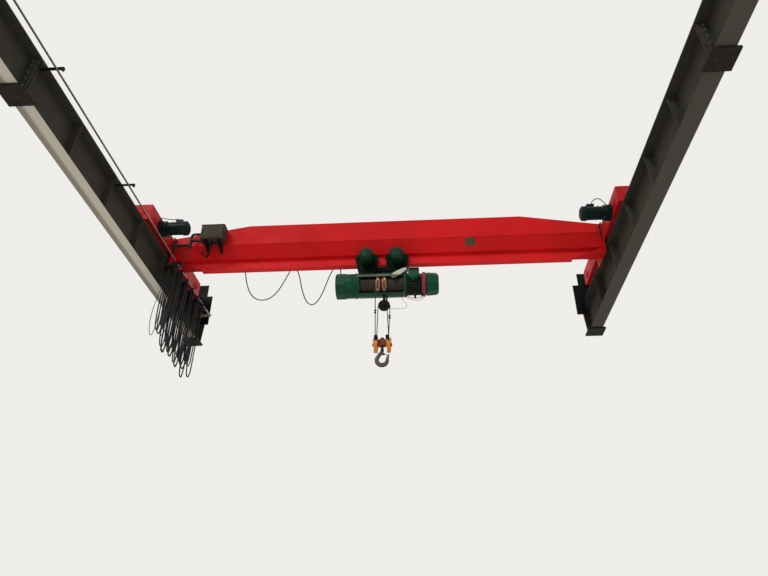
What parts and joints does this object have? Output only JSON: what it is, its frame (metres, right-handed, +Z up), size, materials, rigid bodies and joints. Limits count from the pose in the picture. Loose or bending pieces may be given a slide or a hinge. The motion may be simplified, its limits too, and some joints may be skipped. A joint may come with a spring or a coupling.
{
  "type": "overhead bridge crane",
  "caption": "Single-girder overhead travelling crane: trough-shaped girder between two end trucks on runway beams, with an underslung electric rope hoist and hook.",
  "frame": {"origin": "middle of the underside of the left far bearing plate, where the left runway beam rests on its support at the far end of the runway", "axes": "X across the span from the left rail to the right rail, Y along the runway away from the viewer, Z up"},
  "size_m": [7.94, 12.32, 2.6151],
  "materials": {
    "runway_grey": "dusty grey-brown paint, rust showing",
    "rail_steel": "bare rolled steel, brown with rust",
    "black_paint": "worn black paint",
    "wire_steel": "galvanised wire",
    "girder_red": "glossy red paint",
    "beam_red": "red paint, dirty below",
    "motor_grey": "dark blue-grey paint",
    "box_brown": "grey-brown sheet steel",
    "cable_black": "black cable sheath",
    "wheel_steel": "machined steel, greasy",
    "trolley_dark": "dark green paint",
    "hoist_green": "green machine enamel",
    "guide_copper": "reddish brown, copper-like",
    "strip_grey": "pale grey-green",
    "rope_steel": "greased wire rope",
    "block_brown": "brown-orange, rusty",
    "block_orange": "orange paint, scratched",
    "hook_steel": "forged steel, dull"
  },
  "bodies": {
    "runway": {"bearing_plates": "runway_grey", "runway_beam_left": "runway_grey", "runway_beam_right": "runway_grey", "crane_rails": "rail_steel", "end_stops": "black_paint", "wire_hangers": "black_paint", "wire_arms": "black_paint", "messenger_wire": "wire_steel", "runway_festoon_clips": "black_paint", "runway_festoon_cable": "cable_black"},
    "bridge": {"girder_box": "girder_red", "girder_beam_foot": "beam_red", "girder_beam_web": "beam_red", "girder_beam_head": "beam_red", "girder_end_plates": "girder_red", "end_truck_left": "girder_red", "end_truck_right": "girder_red", "travel_gearboxes": "motor_grey", "travel_motors": "motor_grey", "control_box": "box_brown", "control_box_bracket": "black_paint", "girder_festoon_wire": "wire_steel", "girder_festoon_cable": "cable_black", "girder_festoon_clips": "black_paint", "festoon_lead": "cable_black", "trolley_stops": "black_paint"},
    "wheel_left_near": {"bridge_wheel_left_near": "wheel_steel"},
    "wheel_left_far": {"bridge_wheel_left_far": "wheel_steel"},
    "wheel_right_near": {"bridge_wheel_right_near": "wheel_steel"},
    "wheel_right_far": {"bridge_wheel_right_far": "wheel_steel"},
    "trolley": {"trolley_side_plates": "trolley_dark", "trolley_pins": "trolley_dark", "trolley_frame": "trolley_dark", "trolley_motors": "hoist_green", "hoist_housing": "hoist_green", "hoist_gearbox": "hoist_green", "hoist_motor": "trolley_dark", "hoist_motor_cover": "hoist_green", "hoist_terminal_box": "hoist_green", "rope_guide": "guide_copper", "balance_sheave": "black_paint", "hoist_cover_strip": "strip_grey", "rope_falls": "rope_steel"},
    "trolley_axle_1": {"trolley_wheels_1": "wheel_steel"},
    "trolley_axle_2": {"trolley_wheels_2": "wheel_steel"},
    "trolley_axle_3": {"trolley_wheels_3": "wheel_steel"},
    "trolley_axle_4": {"trolley_wheels_4": "wheel_steel"},
    "drum": {"rope_drum": "rope_steel"},
    "hook_block": {"block_crosshead": "block_brown", "block_sheaves": "wheel_steel", "block_covers": "block_orange"},
    "hook": {"hook": "hook_steel"},
    "latch": {"hook_latch": "hook_steel"}
  },
  "joints": [
    {"name": "bridge_travel", "type": "slide", "parent": "runway", "child": "bridge", "axis": [0, 1, 0], "range_m": [-8.8, 0.17], "deforming": ["festoon_lead"]},
    {"name": "trolley_travel", "type": "slide", "parent": "bridge", "child": "trolley", "axis": [1, 0, 0], "range_m": [-1.1, 2.5], "deforming": ["girder_festoon_cable"]},
    {"name": "hook_lift", "type": "slide", "parent": "trolley", "child": "hook_block", "axis": [0, 0, 1], "range_m": [-5.2, 0.4], "deforming": ["rope_falls"]},
    {"name": "wheel_left_near_roll", "type": "hinge", "parent": "bridge", "child": "wheel_left_near", "pos_m": [0, -2.7, 0.815], "axis": [1, 0, 0], "range_deg": [-76, 3738]},
    {"name": "wheel_left_far_roll", "type": "hinge", "parent": "bridge", "child": "wheel_left_far", "pos_m": [0, -0.7, 0.815], "axis": [1, 0, 0], "range_deg": [-76, 3738]},
    {"name": "wheel_right_near_roll", "type": "hinge", "parent": "bridge", "child": "wheel_right_near", "pos_m": [7.5, -2.7, 0.815], "axis": [1, 0, 0], "range_deg": [-76, 3738]},
    {"name": "wheel_right_far_roll", "type": "hinge", "parent": "bridge", "child": "wheel_right_far", "pos_m": [7.5, -0.7, 0.815], "axis": [1, 0, 0], "range_deg": [-76, 3738]},
    {"name": "trolley_axle_1_roll", "type": "hinge", "parent": "trolley", "child": "trolley_axle_1", "pos_m": [3.3695, -1.7, 0.555], "axis": [0, 1, 0], "range_deg": [-782, 1772]},
    {"name": "trolley_axle_2_roll", "type": "hinge", "parent": "trolley", "child": "trolley_axle_2", "pos_m": [3.5815, -1.7, 0.555], "axis": [0, 1, 0], "range_deg": [-782, 1772]},
    {"name": "trolley_axle_3_roll", "type": "hinge", "parent": "trolley", "child": "trolley_axle_3", "pos_m": [3.8665, -1.7, 0.555], "axis": [0, 1, 0], "range_deg": [-782, 1772]},
    {"name": "trolley_axle_4_roll", "type": "hinge", "parent": "trolley", "child": "trolley_axle_4", "pos_m": [4.0785, -1.7, 0.555], "axis": [0, 1, 0], "range_deg": [-782, 1772]},
    {"name": "drum_turn", "type": "hinge", "parent": "trolley", "child": "drum", "pos_m": [3.724, -1.7, 0.084], "axis": [1, 0, 0], "range_deg": [-586, 7548]},
    {"name": "hook_swivel", "type": "hinge", "parent": "hook_block", "child": "hook", "pos_m": [3.73, -1.7, -0.996], "axis": [0, 0, 1], "range_deg": [-180, 180]},
    {"name": "hook_latch_pivot", "type": "hinge", "parent": "hook", "child": "latch", "pos_m": [3.76, -1.7, -1.154], "axis": [0, 1, 0], "range_deg": [0, 50], "stiffness_Nm_per_rad": 0.05, "springref_deg": -20.05}
  ],
  "couplings": [
    {"joint": "wheel_left_near_roll", "follows": "bridge_travel", "rad_per_m": -7.4074},
    {"joint": "wheel_left_far_roll", "follows": "bridge_travel", "rad_per_m": -7.4074},
    {"joint": "wheel_right_near_roll", "follows": "bridge_travel", "rad_per_m": -7.4074},
    {"joint": "wheel_right_far_roll", "follows": "bridge_travel", "rad_per_m": -7.4074},
    {"joint": "trolley_axle_1_roll", "follows": "trolley_travel", "rad_per_m": 12.346},
    {"joint": "trolley_axle_2_roll", "follows": "trolley_travel", "rad_per_m": 12.346},
    {"joint": "trolley_axle_3_roll", "follows": "trolley_travel", "rad_per_m": 12.346},
    {"joint": "trolley_axle_4_roll", "follows": "trolley_travel", "rad_per_m": 12.346},
    {"joint": "drum_turn", "follows": "hook_lift", "rad_per_m": -25.317}
  ]
}
